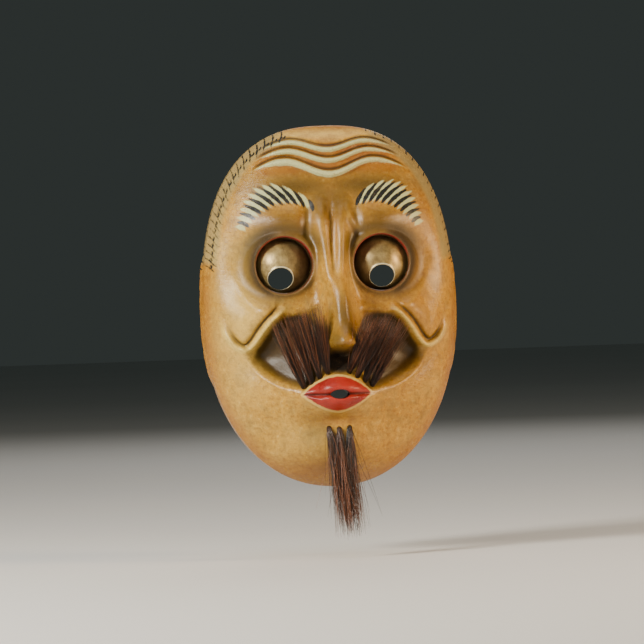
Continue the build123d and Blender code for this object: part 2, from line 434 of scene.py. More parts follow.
def border(block):
    """Grid places round a block, in order."""
    i_low, i_high, j_low, j_high = block
    loop = [(i, j_low) for i in range(i_low, i_high)]
    loop += [(i_high, j) for j in range(j_low, j_high)]
    loop += [(i, j_high) for i in range(i_high, i_low, -1)]
    loop += [(i_low, j) for j in range(j_high, j_low, -1)]
    return loop


def points_at(x, y, z):
    """Places from their three coordinates, any of which may be one number."""
    return np.stack(np.broadcast_arrays(x, y, z), axis=-1)


def pick(grid, places):
    """What a grid holds at some of its places."""
    return np.array([grid[place] for place in places])


class Surface:
    """Collects the vertices, faces and painted measures of one closed mesh."""

    def __init__(self, measures):
        self.places = []
        self.faces = []
        self.count = 0
        self.measures = {name: [] for name in measures}

    def add(self, places, **values):
        """Adds vertices with their painted measures, and gives their numbers."""
        places = np.asarray(places, float).reshape(-1, 3)
        self.places.append(places)
        for name in self.measures:
            value = np.broadcast_to(np.asarray(values.get(name, 0.0), float).ravel(), (len(places),))
            self.measures[name].append(value)
        numbers = np.arange(self.count, self.count + len(places))
        self.count += len(places)
        return numbers

    def grid(self, numbers, holes=()):
        """Faces of a grid, leaving out the blocks of its holes."""
        for i in range(numbers.shape[0] - 1):
            for j in range(numbers.shape[1] - 1):
                if any(h[0] <= i < h[1] and h[2] <= j < h[3] for h in holes):
                    continue
                corners = ((i, j), (i + 1, j), (i + 1, j + 1), (i, j + 1))
                self.faces.append(tuple(numbers[corner] for corner in corners))

    def band(self, first, second):
        """Faces between two loops of the same length."""
        for k in range(len(first)):
            after = (k + 1) % len(first)
            self.faces.append((first[k], first[after], second[after], second[k]))

    def extend(self, loop, places, **values):
        """Joins a new loop of vertices to the last one, and gives its numbers."""
        ring = self.add(places, **values)
        self.band(loop, ring)
        return ring

    def taper(self, fine, coarse):
        """Faces between a loop and one with half as many points."""
        count = len(coarse)
        for k in range(count):
            after = (k + 1) % count
            middle = fine[2 * k + 1]
            self.faces += [(fine[2 * k], middle, coarse[k]),
                           (middle, coarse[after], coarse[k]),
                           (middle, fine[(2 * k + 2) % len(fine)], coarse[after])]

    def mesh(self, name):
        """The finished mesh, with unused vertices left out and the normals facing outwards."""
        places = np.vstack(self.places)
        used = np.zeros(len(places), bool)
        for face in self.faces:
            used[list(face)] = True
        renumber = np.cumsum(used) - 1
        data = bpy.data.meshes.new(name)
        faces = [tuple(int(renumber[v]) for v in face) for face in self.faces]
        data.from_pydata((places[used] * MM).tolist(), [], faces)
        for key, parts in self.measures.items():
            layer = data.attributes.new(key, "FLOAT", "POINT")
            layer.data.foreach_set("value", np.concatenate(parts)[used].astype(np.float32))
        data.validate()
        piece = add_object(name, data)
        face_outwards(piece)
        return piece


def face_outwards(piece):
    """Turns every face of a closed mesh outwards and shades it smooth."""
    work = bmesh.new()
    work.from_mesh(piece.data)
    bmesh.ops.recalc_face_normals(work, faces=work.faces)
    work.to_mesh(piece.data)
    work.free()
    piece.data.polygons.foreach_set("use_smooth", [True] * len(piece.data.polygons))


# ---- painted measures

def brow_strokes(side):
    """Centre lines of one brow's strokes, which are dark and pale in turn."""
    base = [(-10.0, 51.5), (-29.0, 63.0), (-46.5, 42.5)]
    tips = [(-12.5, 59.5), (-47.0, 84.0), (-52.5, 45.0)]
    start = 0.1 if side > 0 else 0.0

    def on_curve(corners, t):
        """A point on the smooth curve that three corners make."""
        weights = ((1 - t) ** 2, 2 * t * (1 - t), t * t)
        return np.array([sum(w * c[k] for w, c in zip(weights, corners)) for k in (0, 1)])

    strokes = []
    count = 20
    for number in range(count):
        t = start + (1.0 - start) * (number + 0.1) / (count - 1.0)
        foot = on_curve(base, t)
        tip = on_curve(tips, min(t + 0.10 * sin(pi * t), 1.0))
        across = np.array([(tip - foot)[1], -(tip - foot)[0]]) / np.hypot(*(tip - foot))
        middle = 0.5 * (foot + tip) + 2.1 * across
        corners = [foot, middle, tip]
        line = np.array([on_curve(corners, s) for s in np.linspace(0, 1, 9)])
        line[:, 0] *= -side
        strokes.append(line)
    return strokes


def stroke_distance(x, z, lines, half_stroke, lead):
    """How far inside the nearest of some tapered strokes each point is. Each is widest at its share lead."""
    inside = np.full(x.shape, far_outside)
    for line in lines:
        low = line.min(axis=0) - 4.0
        high = line.max(axis=0) + 4.0
        near = (x > low[0]) & (x < high[0]) & (z > low[1]) & (z < high[1])
        if not near.any():
            continue
        far, _, along = near_line(x[near], z[near], line)
        swell = np.sin(np.pi * np.clip(along, 0.0, 1.0) ** (0.69 / -log(lead)))
        inside[near] = np.maximum(inside[near], half_stroke * swell - far)
    return inside


def temple_hair(around, out):
    """How far inside a painted temple hair a point is, from its place round the edge and out over it."""
    lines = []
    count = 20
    first, last = 28.0, 112.0
    shapes = ([(0.0, 13.0), (-0.8, 6.0), (-3.4, 0.5)],
              [(2.0, 2.6), (0.8, -2.2), (-1.8, -6.0), (-1.2, -8.4)],
              [(2.8, -2.6), (1.6, -4.0), (0.0, -3.4)])
    for number in range(count):
        place = first + (last - first) * number / (count - 1)
        for shape in shapes:
            lines.append(smooth_curve([(place + shift, height) for shift, height in shape], 4))
    return stroke_distance(around, out, lines, 0.46, 0.4)


# Turns an angle round the face into millimetres along its edge, about as long as the real edge there
edge_radius = 85.0


def temple_measures(x, z, out):
    """The painted hair and its pale ground, beside the temples and over the edge."""
    around = np.arctan2(z, np.abs(x)) * edge_radius
    ground = step(out, -9.5, -5.0) * step(around, 26.0, 34.0) * step(around, 118.0, 108.0)
    near = (ground > 0.0) & (out > np.where(x > 0.0, -2.0, -10.0))
    ink = np.full(x.shape, far_outside)
    ink[near] = temple_hair(around[near], out[near])
    return ink, ground


def strongest(x, z, patches):
    """The strongest of several soft patches. Each has a weight, a middle and a spread."""
    return np.maximum.reduce([weight * mound(x, z, *place) for weight, *place in patches])


def paint_measures(x, z):
    """Everything the paint needs to know at each point of the front."""
    side = np.abs(x)
    offset, fade, hollow, above = cheeks(x, z)[1:]
    ridge_inside, groove = forehead(x, z)[1:]
    lip_inside = lips(x, z)[1]
    across = side - eye_x
    up = z - eye_z
    distance = np.hypot(across, up)
    upward = up / np.maximum(distance, 1.0)
    outward = step(across / np.maximum(distance, 1.0), -0.35, 0.55)
    below = step(upward, 0.0, -0.7)
    far = lid_radius + 6.0 + 8.5 * outward
    fade_out = 1.0 - step(distance, lid_radius + 0.5, far) ** 0.8
    ring = step(distance, lid_radius, lid_radius + 1.3) * fade_out
    trough = ring * np.maximum(np.maximum(outward, 0.85 * below), 0.5)
    nose_x = along_nose(x, z)
    under_nose = step(mound(nose_x, z, -1.5, -31.0, 15.0, 7.6), 0.15, 0.75)
    beside_nose = mound(np.abs(nose_x), z, 12.5, -17.0, 4.0, 10.0)
    shade = np.maximum.reduce([
        0.99 * trough,
        0.88 * step(hollow, 0.02, 0.5) * step(above, -1.0, 7.0),
        under_nose,
        0.75 * beside_nose,
        0.9 * fade * bell(offset, 3.1, 0.8),
        0.95 * groove,
    ])
    # A dark olive wash over the brows, round the nose and on the chin, which is also painted shade in the
    # hollows under the brows, beside the nose and in the cheeks
    olive_wash_and_shade = np.maximum.reduce([
        0.95 * bell(distance, 20.5, 6.0) * step(upward, -0.2, 0.7),
        strongest(side, z, ((0.95, 20.0, 66.0, 28.0, 8.0), (0.8, 4.0, 58.0, 13.0, 14.0),
                            (0.8, 27.0, 46.0, 16.0, 7.5), (0.65, 13.0, 48.0, 4.5, 12.0),
                            (0.6, 13.5, 24.0, 3.5, 14.0))),
        strongest(nose_x, z, ((0.9, 0.5, -6.0, 5.5, 13.0), (0.8, -5.5, -19.0, 5.5, 8.0))),
        0.5 * mound(x, z, -13.0, -70.0, 8.0, 12.0),
        0.6 * hollow,
    ])
    # Orange-brown tone in the forehead grooves, at the worn edge, under the lip and on the chin; the broad
    # patch on the right of the face is painted warm light
    rust = np.maximum.reduce([
        step(z, 70.0, 75.0) * step(z, 92.0, 88.0) * step(side, 44.0, 34.0),
        0.75 * step(reach(x, z), 0.90, 1.0),
        strongest(x, z, ((0.6, mouth_x, mouth_z - 14.0, 14.0, 4.5), (0.9, -5.0, -100.0, 52.0, 18.0),
                         (0.4, 46.0, 20.0, 26.0, 50.0), (0.6, 1.5, 42.0, 4.0, 22.0))),
        0.5 * mound(side, z, 28.0, 45.0, 18.0, 7.0),
        0.5 * mound(nose_x, z, 3.0, -14.0, 6.0, 12.0),
    ])
    strokes = brow_strokes(-1) + brow_strokes(1)
    brow_ink = stroke_distance(x, z, strokes[0::2], 1.15, 0.36)
    brow_pale = stroke_distance(x, z, strokes[1::2], 1.4, 0.5)
    past_edge = (reach(x, z) - 1.0) * outline_radius(np.arctan2(z, x))
    temple, ground = temple_measures(x, z, past_edge)
    return {
        "shade": shade,
        "olive_wash_and_shade": olive_wash_and_shade,
        "rust": rust,
        "ink": np.maximum(brow_ink, temple),
        "pale": np.maximum(brow_pale, ridge_inside),
        "ground": ground,
        "lip": lip_inside,
        "lit": 1.6 * fade * bell(offset, -0.2, 1.3) + bell(z, 95.5, 3.0) * step(side, 34.0, 18.0)
        + 0.9 * mound(x, z, -50.0, -5.0, 17.0, 55.0) + 0.5 * mound(x, z, -20.0, -75.0, 22.0, 14.0),
        # seam: painted shade in the crease between the lips
        "seam": bell(z - mouth_z, 0.0, 0.9) * (lip_inside > 0.8),
        "dull": np.maximum.reduce([trough, under_nose, 0.35 * hollow]),
    }


def ear_relief(y, z):
    """How far the low carved ear stands out of the side wall."""
    turn = np.hypot((y + 6.6) / 4.6, (z + 6.0) / 29.0)
    helix = 1.5 * bell(turn, 1.0, 0.22)
    inner = 1.0 * bell(turn, 0.48, 0.18) * step(z, 16.0, 0.0)
    concha = -0.8 * bell(turn, 0.72, 0.12)
    return helix + inner + concha


def carve_shell():
    """The whole carved block as one closed mesh."""
    shell = Surface(("shade", "olive_wash_and_shade", "rust", "ink", "pale", "ground", "lip", "lit", "seam", "back", "lid",
                     "edge", "dull"))
    x, z = base_grid(columns, rows, 0.0)
    back_x, back_z = base_grid(columns // 2, rows // 2, rim_width)
    lid = lid_radius + 0.9
    mouth_radii = (mouth_hole_half_width, mouth_hole_half_height)
    openings = [("eye", (side * eye_x, eye_z), 40, 40, (lid, lid), 1.75, (recess_radius, recess_radius), 1.8)
                for side in (-1, 1)]
    openings.append(("mouth", (0.0, mouth_z), 16, 8, mouth_radii, 2.6, mouth_radii, 2.4))
    holes = []
    for kind, centre, across, along, front_radii, front_reach, back_radii, back_reach in openings:
        front_block = nearest_block(x, z, centre, across, along)
        x, z = conform(x, z, front_block, centre, front_radii, front_reach)
        back_block = nearest_block(back_x, back_z, centre, across // 2, along // 2)
        back_x, back_z = conform(back_x, back_z, back_block, centre, back_radii, back_reach)
        holes.append((kind, centre, front_block, back_block))
    depth = front_depth(x, z)
    front = shell.add(points_at(x, -depth, z), **paint_measures(x, z)).reshape(x.shape)
    shell.grid(front, [hole[2] for hole in holes])
    hollow = back_depth(back_x, back_z)
    behind = shell.add(points_at(back_x, -hollow, back_z), back=1.0).reshape(back_x.shape)
    shell.grid(behind, [hole[3] for hole in holes])

    for kind, centre, front_block, back_block in holes:
        places = border(front_block)
        loop_x = pick(x, places) - centre[0]
        loop_z = pick(z, places) - centre[1]
        add_wall = add_socket if kind == "eye" else add_throat
        loop = add_wall(shell, pick(front, places), loop_x, loop_z, pick(depth, places), centre)
        shell.taper(loop, pick(behind, border(back_block)))
    add_walls(shell, front, behind, x, z, depth, back_x, back_z, hollow)
    return shell.mesh("mask_shell_carved")


def add_socket(shell, loop, loop_x, loop_z, loop_depth, centre):
    """The rounded inner edge of a lid, the wall behind it and the ledge that the eye rests on."""
    size = np.hypot(loop_x, loop_z)
    unit_x, unit_z = loop_x / size, loop_z / size
    rings = [(lid_radius + 0.45, 0.35), (lid_radius + 0.12, 0.9), (lid_radius, 1.7), (lid_radius, 3.2)]
    above = step(unit_z, 0.05, 0.6)
    for radius, back in rings:
        places = points_at(centre[0] + radius * unit_x, back - loop_depth, centre[1] + radius * unit_z)
        loop = shell.extend(loop, places, lid=0.35 + 0.65 * above, shade=0.7, **unpainted)
    for radius in (lid_radius, recess_radius):
        places = points_at(centre[0] + radius * unit_x, -ledge_depth, centre[1] + radius * unit_z)
        loop = shell.extend(loop, places, lid=0.3, shade=1.0, **unpainted)
    return loop


def add_throat(shell, loop, loop_x, loop_z, loop_depth, centre):
    """The wall of the small hole between the lips."""
    back = 45.5
    for share in (0.12, 0.35, 0.9):
        y = -(loop_depth + (back - loop_depth) * share)
        # The throat wall is given painted shade, darker deeper in
        measures = {**unpainted, "lip": 3.0, "shade": share, "seam": min(0.4 + 3.0 * share, 1.0)}
        loop = shell.extend(loop, points_at(centre[0] + loop_x, y, centre[1] + loop_z), **measures)
    return loop


def add_walls(shell, front, behind, x, z, depth, back_x, back_z, hollow):
    """The side wall with its carved ears, the flat rim and the wall of the hollow."""
    outer_places = border((0, front.shape[0] - 1, 0, front.shape[1] - 1))
    loop = pick(front, outer_places)
    edge_x = pick(x, outer_places)
    edge_z = pick(z, outer_places)
    edge_depth = pick(depth, outer_places)
    length = np.hypot(edge_x, edge_z)
    rings = 13
    round_off = 0.7
    for number in range(1, rings + 1):
        y = -edge_depth * (1.0 - number / rings)
        lip = round_off if number == rings else 0.0
        out = ear_relief(y, edge_z) * step(np.abs(edge_x), 56.0, 62.0) * (number < rings)
        inset = 1.0 - lip / length
        places = points_at(edge_x * inset + np.sign(edge_x) * out, y, edge_z * inset)
        hair_ink, ground = temple_measures(edge_x, edge_z, edge_depth + y)
        measures = {**unpainted, "rust": 0.6, "edge": number / rings, "ink": hair_ink, "ground": ground}
        loop = shell.extend(loop, places, shade=0.35 * bell(out, 0.3, 0.25), **measures)
    inner_places = border((0, behind.shape[0] - 1, 0, behind.shape[1] - 1))
    inner_x = pick(back_x, inner_places)
    inner_z = pick(back_z, inner_places)
    inner_depth = pick(hollow, inner_places)
    rim = shell.add(points_at(inner_x, 0.0, inner_z), back=1.0, edge=1.0)
    shell.taper(loop, rim)
    loop = rim
    for share in (0.05, 0.25, 0.5, 0.75):
        loop = shell.extend(loop, points_at(inner_x, -inner_depth * share, inner_z), back=1.0)
    shell.band(loop, pick(behind, inner_places))


def drill_cord_holes(piece):
    """Cuts the two cord holes through the side walls."""
    for side in (-1, 1):
        reach_x = half_width - 0.5 * rim_width
        bpy.ops.mesh.primitive_cylinder_add(
            vertices=40, radius=cord_hole_radius * MM, depth=3.0 * rim_width * MM,
            location=(side * reach_x * MM, cord_hole_y * MM, cord_hole_z * MM),
            rotation=(0.0, pi / 2.0, 0.0))
        drill = bpy.context.object
        cut = piece.modifiers.new("cord_hole", "BOOLEAN")
        cut.operation = "DIFFERENCE"
        cut.solver = "EXACT"
        cut.object = drill
        bpy.context.view_layer.objects.active = piece
        bpy.ops.object.modifier_apply(modifier=cut.name)
        bpy.data.objects.remove(drill, do_unlink=True)


# ---- eyes

def oval(angle, half_x, half_z):
    """Points of an oval round its own middle."""
    return half_x * np.cos(angle), half_z * np.sin(angle)


def make_eye(word):
    """One domed gilt eye with its flange and the rolled lip of its sight hole."""
    side = -1 if word == "left" else 1
    centre_x = side * eye_x
    height = ball_front - ledge_depth
    outer = (ball_radius ** 2 + height ** 2) / (2.0 * height)
    middle = ball_front - outer
    hole_x, hole_z = pupil_shift[word], -pupil_drop
    angle = np.linspace(0, 2 * np.pi, 144, endpoint=False)
    eye = Surface(("nasal", "bead"))
    rings = []

    def ring_at(share, radius, lift, bead):
        """A ring of the dome: at its sight hole where share is 0, and at its edge where share is 1."""
        start_x, start_z = oval(angle, pupil_half_width, pupil_half_height)
        end_x, end_z = oval(angle, ball_radius, ball_radius)
        px = (1 - share) * (hole_x + start_x) + share * end_x
        pz = (1 - share) * (hole_z + start_z) + share * end_z
        inside = np.maximum(radius ** 2 - px ** 2 - pz ** 2, 0.0)
        py = middle + np.sqrt(inside) + lift
        # nasal grows towards the nose, where the dome is given painted shade
        return eye.add(points_at(centre_x + px, -py, eye_z + pz), nasal=-side * px / ball_radius, bead=bead)

    shares = np.concatenate([[0.0, 0.012, 0.03, 0.05, 0.075], np.linspace(0.1, 1.0, 26)])
    for share in shares:
        # The rolled lip of the sight hole, which is raised and carries a painted highlight
        bead = float(np.exp(-((share - 0.03) / 0.03) ** 2))
        rings.append(ring_at(share, outer, 0.45 * bead, bead))
    for radius, level in ((ball_radius + 0.1, ledge_depth - 0.02), (flange_radius, ledge_depth - 0.02),
                          (flange_radius, ball_back), (ball_radius - 1.6, ball_back)):
        px, pz = oval(angle, radius, radius)
        rings.append(eye.add(points_at(centre_x + px, -level, eye_z + pz)))
    for share in (0.86, 0.6, 0.3, 0.0):
        rings.append(ring_at(share, outer - metal, 0.0, 0.0))
    for first, second in zip(rings, rings[1:] + rings[:1]):
        eye.band(first, second)
    return eye.mesh("eyeball_" + word + "_gilt")


# ---- hair

def strand_mesh(name, strands):
    """One mesh of many thin tapered tubes. A strand is (points, radius, tone)."""
    sides = 3
    places = []
    faces = []
    tones = []
    for points, radius, tone in strands:
        start = len(places)
        count = len(points)
        for k, point in enumerate(points):
            ahead = points[min(k + 1, count - 1)] - points[max(k - 1, 0)]
            ahead = ahead / np.linalg.norm(ahead)
            first = np.cross(ahead, (0.3, 1.0, 0.1))
            first = first / np.linalg.norm(first)
            second = np.cross(ahead, first)
            size = radius * (1.0 - 0.75 * (k / (count - 1)) ** 2)
            for turn in range(sides):
                angle = 2.0 * pi * turn / sides
                places.append(point + size * (cos(angle) * first + sin(angle) * second))
                tones.append(tone * (0.25 + 0.75 * min(2.0 * k / (count - 1), 1.0)))
        for k in range(count - 1):
            for turn in range(sides):
                after = (turn + 1) % sides
                low = start + k * sides
                high = low + sides
                faces.append((low + turn, low + after, high + after, high + turn))
        faces.append(tuple(start + turn for turn in reversed(range(sides))))
        faces.append(tuple(start + (count - 1) * sides + turn for turn in range(sides)))
    data = bpy.data.meshes.new(name)
    data.from_pydata((np.array(places) * MM).tolist(), [], faces)
    layer = data.attributes.new("tone", "FLOAT", "POINT")
    layer.data.foreach_set("value", np.array(tones, np.float32))
    data.polygons.foreach_set("use_smooth", [True] * len(data.polygons))
    return add_object(name, data)


def unit(vector):
    """The same direction, of length 1."""
    vector = np.array(vector, float)
    return vector / np.linalg.norm(vector)


def hair_tuft(name, root, axis, hair, length, count, spread, wild, rng):
    """Strands that leave a hole along its axis, turn along the hair and fan out towards wispy ends."""
    root = np.array(root, float)
    axis = unit(axis)
    hair = unit(hair)
    across = unit(np.cross(hair, axis))
    up = np.cross(across, axis)
    forward = np.cross(across, hair)
    packing = 1.45
    sunk = 1.5
    straight = 2.6
    steps = 7
    strands = []
    for _ in range(count):
        spin = rng.uniform(0, 2 * pi)
        packed = sqrt(rng.random())
        seat_a = packing * packed * cos(spin)
        seat_b = packing * packed * sin(spin)
        seat = root - sunk * axis + seat_a * across + seat_b * up
        stray = rng.random() ** 3
        fan_a = seat_a * spread + rng.gauss(0.0, 0.8 + 2.6 * wild * stray)
        fan_b = seat_b * spread * 0.6 + rng.gauss(0.0, 0.5 + 1.6 * wild * stray)
        run = length * (0.80 + 0.26 * rng.random() - 0.35 * (rng.random() ** 4))
        wave = rng.gauss(0.0, 0.35 + 0.8 * stray)
        phase = rng.uniform(0, 2 * pi)
        points = [seat, seat + straight * axis]
        for k in range(1, steps + 1):
            t = k / steps
            point = seat + straight * axis + hair * run * t
            point = point + across * (fan_a * t ** 0.85 + wave * sin(2.5 * t + phase) * t)
            point = point + forward * (fan_b * t ** 1.2)
            points.append(point)
        tone = min(max(rng.random() ** 1.6 + 0.08 * rng.gauss(0, 1), 0.0), 1.0)
        strands.append((points, 0.09 + 0.07 * rng.random(), tone))
    return strand_mesh(name, over_the_wood(strands))


def over_the_wood(strands):
    """Lifts every point but the first of the strands that would pass through the carving, to lie over it."""
    clearance = 0.5
    places = np.array([points for points, radius, tone in strands])
    surface = -front_depth(places[:, 1:, 0], places[:, 1:, 2]) - clearance
    places[:, 1:, 1] = np.minimum(places[:, 1:, 1], surface)
    return [(line, radius, tone) for line, (points, radius, tone) in zip(places, strands)]


def depth_at(x, z):
    """Depth of the finished carving at one point."""
    return float(front_depth(np.array([x]), np.array([z]))[0])


def moustache_root(side, number):
    """Where a moustache tuft is planted on the carving, and the ways its hole and hair point."""
    share = number / 3.0
    x = side * (18.9 - 13.0 * share)
    z = mouth_z + 4.2 + 7.6 * share
    lean = radians(21.0 - 11.0 * share if side < 0 else 27.0 - 8.0 * share)
    forward = -0.16 - 0.08 * share if side < 0 else -0.16 - 0.56 * share
    depth = depth_at(x, z)
    tilt = radians(30.0)
    axis = (side * 0.12, -cos(tilt), sin(tilt))
    hair = (side * sin(lean), forward, cos(lean))
    return (x, -depth, z), axis, hair


def beard_root(place):
    """Where a beard tuft is planted, and the ways its hole and hair point."""
    x = 5.6 * place
    z = -68.0 + 0.6 * place * place
    depth = depth_at(x, z)
    tilt = radians(-35.0)
    hair = (0.075 - 0.055 * place, -0.10, -1.0)
    return (x, -depth, z), (0.0, -cos(tilt), sin(tilt)), hair


def make_hair():
    """All eleven tufts, each standing for its plain solid."""
    rng = random.Random(7)
    tufts = []
    for word, side in (("left", -1), ("right", 1)):
        for number in range(4):
            node = "moustache_" + word + "_" + str(number + 1)
            tuft = hair_tuft(node + "_hair", *moustache_root(side, number), 39.0, 150, 2.1, 1.0, rng)
            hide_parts(node)
            tufts.append(tuft)
    for word, place in (("left", -1), ("centre", 0), ("right", 1)):
        count = 260 if place == 0 else 190
        tuft = hair_tuft("beard_" + word + "_hair", *beard_root(place), 56.0, count, 1.9, 2.4, rng)
        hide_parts("beard_" + word)
        tufts.append(tuft)
    return tufts


# ---- materials

class Nodes:
    """A short way to write nodes. A value is a number, a colour, a socket or a painted measure's name."""

    def __init__(self, name):
        self.material = bpy.data.materials.new(name)
        self.material.use_nodes = True
        self.tree = self.material.node_tree
        self.shader = self.tree.nodes["Principled BSDF"]
        self.colour = None

    def node(self, kind, values, **settings):
        """A new node, with its sockets filled by name or number."""
        made = self.tree.nodes.new(kind)
        for key, value in settings.items():
            setattr(made, key, value)
        self.fill(made, values)
        return made

    def fill(self, node, values):
        """Sets each socket to a number or a colour, or links it to another socket or a painted measure."""
        for key, value in values.items():
            if isinstance(value, str):
                value = self.node("ShaderNodeAttribute", {}, attribute_name=value).outputs["Fac"]
            if isinstance(value, (int, float)):
                node.inputs[key].default_value = value
            elif isinstance(value, tuple):
                node.inputs[key].default_value = (*value, 1.0)
            else:
                self.tree.links.new(value, node.inputs[key])

    def noise(self, scale, detail=4.0, rough=0.55, stretch=None):
        """Noise through the solid object, in lumps per metre."""
        source = self.node("ShaderNodeTexCoord", {}).outputs["Object"]
        if stretch:
            mapping = self.node("ShaderNodeMapping", {"Vector": source})
            mapping.inputs["Scale"].default_value = stretch
            source = mapping.outputs["Vector"]
        values = {"Scale": scale, "Detail": detail, "Roughness": rough, "Vector": source}
        return self.node("ShaderNodeTexNoise", values).outputs["Fac"]

    def ramp(self, value, low, high, out_low=0.0, out_high=1.0):
        """Maps one range to another, and keeps to its ends."""
        values = {"Value": value, "From Min": low, "From Max": high, "To Min": out_low, "To Max": out_high}
        return self.node("ShaderNodeMapRange", values).outputs["Result"]

    def math(self, operation, first, second):
        """One sum on two values."""
        return self.node("ShaderNodeMath", {0: first, 1: second}, operation=operation).outputs["Value"]

    def mix(self, amount, first, second):
        """Mixes two colours."""
        return self.node("ShaderNodeMix", {0: amount, 6: first, 7: second}, data_type="RGBA").outputs[2]

    def cover(self, amount, colour):
        """Lays a colour over what is there so far."""
        self.colour = self.mix(amount, self.colour, colour)

    def tint(self, value, low, high, most, colour):
        """Lays a colour over what is there so far: none of it where a value is at low, and most at high."""
        self.cover(self.ramp(value, low, high, 0.0, most), colour)

    def bump(self, height, distance, strength):
        """A fine relief."""
        values = {"Distance": distance, "Strength": strength, "Height": height}
        return self.node("ShaderNodeBump", values).outputs["Normal"]

    def finish(self, values):
        """Fills the shader's own sockets, and gives the material."""
        self.fill(self.shader, values)
        return self.material


def paint_material():
    """Aged gofun paint on carved wood in front, with painted shade in its hollows and painted highlights on
    its raised parts, and dark lacquered tool marks behind.
    """
    m = Nodes("aged_gofun_paint")
    broad = m.noise(22.0, 5.0)
    cloud = m.noise(75.0, 6.0, 0.6)
    fine = m.noise(1500.0, 3.0, 0.7)
    grain = m.noise(420.0, 5.0, 0.7)
    streak = m.noise(60.0, 6.0, 0.65, (1.0, 1.0, 9.0))
    patina = m.noise(150.0, 8.0, 0.72)
    # The ochre ground, mottled, and its larger tones
    m.colour = m.mix(m.ramp(broad, 0.35, 0.65), (0.36, 0.165, 0.014), (0.54, 0.290, 0.034))
    m.tint(cloud, 0.45, 0.72, 0.5, (0.70, 0.45, 0.095))
    m.tint(streak, 0.52, 0.74, 0.30, (0.30, 0.13, 0.018))
    m.tint(grain, 0.50, 0.62, 0.6, (0.25, 0.105, 0.014))
    m.tint(grain, 0.44, 0.32, 0.35, (0.78, 0.55, 0.17))
    m.tint(patina, 0.47, 0.62, 0.5, (0.21, 0.115, 0.022))
    # Orange-brown tone, with painted warm light on the right of the face
    m.cover(m.math("MULTIPLY", "rust", m.ramp(cloud, 0.3, 0.65, 0.35, 1.0)), (0.27, 0.085, 0.010))
    # Dark olive wash, partly painted shade in the hollows
    m.cover("olive_wash_and_shade", (0.088, 0.052, 0.010))
    m.tint("ground", 0.2, 1.0, 0.55, (0.26, 0.25, 0.12))
    # The pale strokes, then the light on raised edges and the smoky shading
    wander = m.ramp(grain, 0.3, 0.7, -0.22, 0.22)
    pale = m.ramp(m.math("ADD", "pale", wander), -0.3, 0.25)
    m.cover(m.math("MULTIPLY", pale, m.ramp(grain, 0.28, 0.45, 0.55, 1.0)), (0.48, 0.49, 0.24))
    lit = m.ramp("lit", 0.2, 1.4, 0.0, 0.62)
    m.cover(m.math("MULTIPLY", lit, m.ramp(patina, 0.62, 0.5, 0.55, 1.0)), (0.80, 0.60, 0.16))
    shade = m.math("MULTIPLY", "shade", m.ramp(cloud, 0.2, 0.6, 0.86, 1.0))
    m.tint(shade, 0.05, 0.85, 0.96, (0.040, 0.021, 0.003))
    m.tint("shade", 0.90, 1.0, 0.92, (0.010, 0.006, 0.003))
    # Black ink, the gilt edge of the lips, the lips and the lids
    ink = m.ramp(m.math("ADD", "ink", wander), -0.12, 0.12)
    m.cover(m.math("MULTIPLY", ink, m.ramp(grain, 0.25, 0.42, 0.6, 1.0)), (0.012, 0.014, 0.014))
    gold = m.ramp(m.math("ADD", "lip", wander), -0.75, -0.35)
    m.cover(m.math("MULTIPLY", gold, 0.85), (0.64, 0.42, 0.12))
    red_tone = m.mix(m.ramp(cloud, 0.35, 0.7), (0.22, 0.010, 0.008), (0.42, 0.030, 0.018))
    m.cover(m.ramp(m.math("ADD", "lip", wander), 0.42, 0.8), red_tone)
    # Painted shade in the crease between the lips and down the throat of the mouth hole
    m.tint("seam", 0.3, 1.0, 0.92, (0.035, 0.005, 0.004))
    m.tint("lid", 0.0, 0.3, 0.7, (0.10, 0.035, 0.02))
    m.tint("lid", 0.4, 0.9, 0.85, (0.24, 0.02, 0.016))
    # Specks, the worn edge and the lacquer of the back
    m.tint(fine, 0.57, 0.70, 0.65, (0.16, 0.08, 0.03))
    m.cover(m.math("MULTIPLY", m.ramp("edge", 0.75, 1.0), m.ramp(grain, 0.4, 0.6)), (0.22, 0.12, 0.05))
    m.cover("back", m.mix(m.ramp(streak, 0.3, 0.7), (0.035, 0.016, 0.008), (0.10, 0.045, 0.02)))
    roughness = m.ramp(cloud, 0.3, 0.7, 0.23, 0.36)
    duller = (("dull", 0.1, 0.9, 0.78), ("seam", 0.5, 1.0, 0.9), ("back", 0.5, 1.0, 0.46))
    for name, low, high, roughest in duller:
        roughness = m.math("MAXIMUM", roughness, m.ramp(name, low, high, 0.2, roughest))
    height = m.math("ADD", m.math("MULTIPLY", fine, 0.35), m.math("MULTIPLY", grain, 0.65))
    height = m.math("ADD", height, m.math("MULTIPLY", streak, 0.4))
    return m.finish({
        "Base Color": m.colour,
        "Roughness": roughness,
        "Specular IOR Level": 0.32,
        "Coat Weight": 0.05,
        "Coat Roughness": 0.28,
        "Normal": m.bump(height, 0.00030, 0.85),
    })


